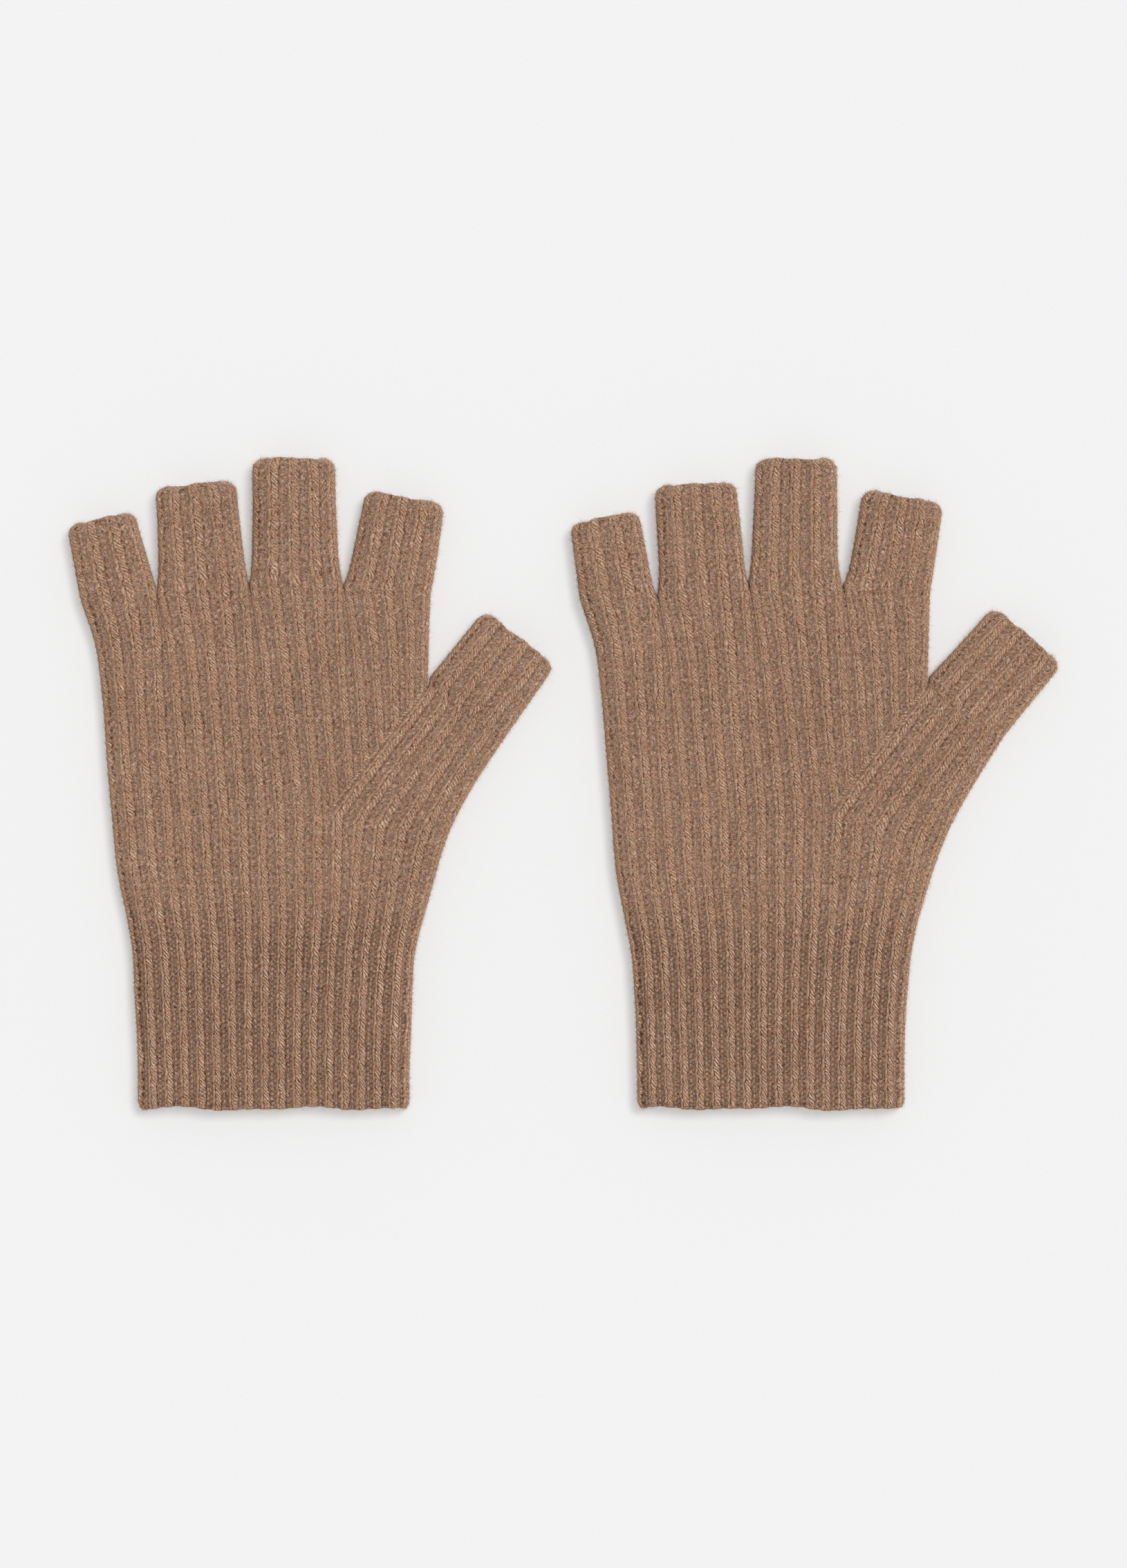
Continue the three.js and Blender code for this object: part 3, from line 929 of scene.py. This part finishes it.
def valley_beads(tree, place, rib, travel, valley, close):
    """Two staggered columns of beads between ribs, one bead to a row of stitches."""
    course_length = calc(tree, "MULTIPLY_ADD", close, CUFF_COURSE - HAND_COURSE, HAND_COURSE)
    uneven = centred(tree, noise(tree, place, 3.2, 1.0), 0.3)
    course = calc(tree, "DIVIDE", calc(tree, "ADD", travel, uneven), course_length)
    column = calc(tree, "MULTIPLY", rib, BEADS_PER_RIB)
    row = calc(tree, "MULTIPLY_ADD", calc(tree, "FLOOR", column), 0.5, course)
    beads = product(tree, saw(tree, column), saw(tree, row))
    beads = product(tree, calc(tree, "ADD", beads, -0.3), valley)
    return product(tree, beads, calc(tree, "MULTIPLY_ADD", close, 0.6, 0.4))


def yarn_curls(tree, place, valley):
    """Short curls of yarn every way, stronger between ribs."""
    flow = noise(tree, place, 1.7, 1.0, 0.5, 1.2)
    curls = calc(tree, "SUBTRACT", saw(tree, calc(tree, "MULTIPLY", flow, 7.0)), 0.5)
    return product(tree, curls, calc(tree, "MULTIPLY_ADD", valley, 0.6, 0.4))


def knitted_wool(name):
    """Heathered wool, knitted in rib and lightly felted. To the eye: a leg and slanted strokes of ply on each
    rib, lightened by painted highlights, beads and curls between ribs, dotted gaps and valleys darkened by
    painted shade, and mixed dyes in every fibre."""
    material, tree = new_material(name)
    knit = add(tree, "ShaderNodeUVMap", {"uv_map": "knit"})
    close = add(tree, "ShaderNodeAttribute", {"attribute_name": "close_knit"}).outputs["Fac"]
    place = add(tree, "ShaderNodeTexCoord").outputs["Object"]
    parts = add(tree, "ShaderNodeSeparateXYZ", Vector=knit.outputs["UV"])
    even_rib, even_travel = parts.outputs["X"], parts.outputs["Y"]
    rib = calc(tree, "ADD", even_rib, centred(tree, noise(tree, place, 3.2), 0.15))
    travel = calc(tree, "ADD", even_travel, centred(tree, noise(tree, place, 2.2), 0.9))
    across = calc(tree, "FRACT", rib)
    fabric = add(tree, "ShaderNodeCombineXYZ", X=calc(tree, "MULTIPLY", rib, RIB_WIDTH), Y=travel).outputs[0]

    # Felting hides the stitches in patches, less in the close cuff.
    patches = calc(tree, "MULTIPLY_ADD", noise(tree, place, 6.0, 2.0, 0.6), 1.4, -0.05)
    clear = calc(tree, "MULTIPLY_ADD", close, 0.34, patches)
    # Painted highlights on the plies and painted shade between them.
    light, shadow = ply_strokes(tree, rib, across, travel)
    # Painted highlights on the legs of the stitches.
    leg = left_legs(tree, rib, across, travel)
    # Painted shade in the gaps between the strands of a stitch.
    gaps = shaded_gaps(tree, across, travel)
    valley = calc(tree, "SUBTRACT", 1.0, window(tree, across, *WHOLE_COLUMN, 0.12))
    beads = valley_beads(tree, place, even_rib, even_travel, valley, close)
    curls = yarn_curls(tree, place, valley)
    holes = window(tree, noise(tree, place, 0.62, 1.0, 0.5, 1.0), BELOW, 0.40, 0.12)
    # Painted shade in the valleys between ribs, stronger in the close cuff.
    valley_shade = product(tree, valley, calc(tree, "ADD", close, 0.4))

    # Threads parted along the strokes, loose fibres every way and the uneven dye of the yarn.
    threads = stretched_noise(tree, fabric, 52, 1.1, 0.24)
    fibres = noise(tree, place, 0.5, 2.0, 0.8, 0.6)
    heather = noise(tree, place, 1.3, 3.0, 0.65)
    cloudy = noise(tree, place, 14.0)
    uneven_dye = [(threads, 0.16), (fibres, 0.58), (heather, 0.12), (cloudy, 0.06)]
    pattern = weighted_sum(tree, MIDDLE_CAMEL, [
        (product(tree, light, clear), 0.25),
        (product(tree, shadow, clear), -0.22),
        (product(tree, leg, clear), 0.17),
        (product(tree, gaps, clear), -0.36),
        (curls, 0.34),
        (beads, 0.40),
        (holes, -0.20),
        (valley_shade, -0.05),
        (close, -0.02),
        *[(centred(tree, value, strength), 1.0) for value, strength in uneven_dye],
    ])

    # Single fibres are dyed a little redder or greener than the rest, and duller between ribs.
    tint = noise(tree, place, 0.9, 2.0, 0.7)
    saturation = weighted_sum(tree, 0.66, [(heather, 0.8), (valley, -0.06)])
    dyed = add(tree, "ShaderNodeHueSaturation", Color=ramp_colours(tree, pattern, CAMEL),
               Hue=calc(tree, "MULTIPLY_ADD", tint, 0.10, 0.4485), Saturation=saturation)

    relief = weighted_sum(tree, 0.0, [
        (light, 0.6), (leg, 0.6), (curls, 0.5), (beads, 0.6), (holes, -0.3), (threads, 0.5), (fibres, 0.8),
    ])
    bump = add(tree, "ShaderNodeBump", Strength=0.8, Distance=0.4 * MM, Height=relief)
    wool = add(tree, "ShaderNodeBsdfPrincipled", Base_Color=dyed.outputs["Color"], Roughness=0.95,
               IOR=1.5, Specular_IOR_Level=0.2, Sheen_Weight=0.7, Sheen_Roughness=0.45,
               Sheen_Tint=linear("#D9B79A"), Normal=bump.outputs["Normal"])
    add(tree, "ShaderNodeOutputMaterial", Surface=wool.outputs["BSDF"])
    return material


def loose_fibre(name, tone):
    """One dyed fibre of the heathered yarn, brushed out of the surface. It is far too thin to show any
    pattern of its own, so the heathering comes from four tones mixed fibre by fibre. The tones are lighter
    than the knitted yarn: partly the mixed dyes and partly a painted highlight for the light the fuzz catches
    at the outline."""
    material, tree = new_material(name)
    fibre = add(tree, "ShaderNodeBsdfPrincipled", Base_Color=linear(tone), Roughness=0.8, IOR=1.5,
                Specular_IOR_Level=0.2)
    add(tree, "ShaderNodeOutputMaterial", Surface=fibre.outputs["BSDF"])
    return material


def table_diffuser(name, glow):
    """The opal sheet of a light table, rolled matt: it glows a little, so that shadows on it stay
    faint, and its grain is too fine to see as a pattern."""
    material, tree = new_material(name)
    place = add(tree, "ShaderNodeTexCoord").outputs["Object"]
    colour = ramp_colours(tree, noise(tree, place, 0.8), [(0.0, "#B3B3B3"), (1.0, "#B9B9B9")])
    sheet = add(tree, "ShaderNodeBsdfPrincipled", Base_Color=colour, Roughness=0.9,
                Specular_IOR_Level=0.1, Emission_Color=(1, 1, 1, 1), Emission_Strength=glow)
    add(tree, "ShaderNodeOutputMaterial", Surface=sheet.outputs["BSDF"])
    return material


knit_wool = knitted_wool("heathered_wool_rib_knit")
fibre_wools = [loose_fibre(f"brushed_out_wool_fibre_{k}", tone) for k, tone in enumerate(FIBRE_TONES_AND_HIGHLIGHT, 1)]

# ---- Assembly ------------------------------------------------------------------------------

BLEND_START = 2.5  # a distance beyond a tube's base line; attach works out the point there, but nothing uses it and no tube bends
WRIST_OVERLAP = 0.15  # how far the CAD cuff ends short of the wrist line


def bend_between(piece):
    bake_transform(piece)


def attach(piece, glove, body, offset):
    """Rides the hand; a piece of the cuff or a tube only has its transform baked into its mesh and rides no
    body.
    """
    hand = f"{glove.side}_hand"
    if body == "hand":
        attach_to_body(piece, hand)
    elif body == "cuff":
        start = np.array([0, WRIST_Y]) + offset
        bend_between(piece)
    else:
        tube = glove.tubes[body]
        start = tube.at(BLEND_START, 0) + offset
        bend_between(piece)


def build_body(glove, body, offset):
    """One tube, cuff or hand with its cast edge and its loose fibres."""
    main = f"{glove.side}_{body}"
    nodes = sorted({s.piece for s in glove.sheets if s.piece == main or s.piece.startswith(main + "_cast")})
    for node in nodes:
        piece = piece_mesh(glove, node, offset)
        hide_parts(node)
        attach(piece, glove, body, offset)
    seed = len(main) * 7 + SIDES.index(glove.side)
    fuzz = fuzz_mesh(glove, nodes, f"{main}_loose_fibres", offset, seed)
    attach(fuzz, glove, body, offset)


def build_glove(side):
    low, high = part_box(f"{side}_cuff")
    # The CAD cuff gives where this glove's centre line and wrist line are.
    offset = np.array([(low.x + high.x) / 2 / MM, high.y / MM + WRIST_OVERLAP - WRIST_Y])
    glove = Glove(side, FIRST_SEED + SIDES.index(side))
    for body in ("hand", "cuff", *TUBE_RIBS):
        build_body(glove, body, offset)
    for face in ("palm", "back"):
        node = f"{side}_thumb_join_{face}"
        cord = join_mesh(glove, face, node + "_stitches", offset)
        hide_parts(node)
        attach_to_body(cord, f"{side}_hand")


for side in SIDES:
    build_glove(side)

# ---- Floor, light and camera ---------------------------------------------------------------

TABLE_GLOW = 0.425
OVERHEAD_LIGHT = 0.44
BACKDROP_LIGHT = 0.88
BACKDROP_TOP = 0.2  # the sine of the angle above the horizon where the backdrop ends
KEY_LIGHT = 1.85
KEY_SPREAD = 20  # degrees: a wide, soft lamp
KEY_FROM = (0.36, 0.32, 1.2)  # from beyond the fingers, to the right
VIEW_HEIGHT = 453.6  # how much of the table the camera sees, from top to bottom
CAMERA_DISTANCE = 2.2
CAMERA_SPOT = (0.0001, -0.0007)
SENSOR = 36

bpy.ops.mesh.primitive_plane_add(size=6, location=(0, 0, -0.00005))
floor = bpy.context.object
floor.name = "floor"
floor.data.materials.append(table_diffuser("light_table_diffuser", TABLE_GLOW))

world = bpy.data.worlds.new("studio")
bpy.context.scene.world = world
world.use_nodes = True
# A soft overhead light, with a pale backdrop that starts where the floor ends.
sky = world.node_tree
direction = add(sky, "ShaderNodeTexCoord").outputs["Generated"]
height = add(sky, "ShaderNodeSeparateXYZ", Vector=direction).outputs["Z"]
strength = smooth_step(sky, height, BACKDROP_TOP / 2, BACKDROP_TOP, BACKDROP_LIGHT, OVERHEAD_LIGHT)
background = sky.nodes["Background"]
background.inputs["Color"].default_value = (1, 1, 1, 1)
sky.links.new(strength, background.inputs["Strength"])

lamp = bpy.data.lights.new("key", "SUN")
lamp.energy = KEY_LIGHT
lamp.angle = math.radians(KEY_SPREAD)
key = bpy.data.objects.new("key", lamp)
key.location = KEY_FROM
key.rotation_euler = (-key.location).to_track_quat("-Z", "Y").to_euler()
bpy.context.scene.collection.objects.link(key)

camera_data = bpy.data.cameras.new("camera")
camera_data.sensor_width = SENSOR
camera_data.lens = SENSOR * CAMERA_DISTANCE / (VIEW_HEIGHT * MM)
camera = bpy.data.objects.new("camera", camera_data)
camera.location = (*CAMERA_SPOT, CAMERA_DISTANCE + HALF * MM)
bpy.context.scene.collection.objects.link(camera)
bpy.context.scene.camera = camera
bpy.context.scene.view_settings.view_transform = "Standard"
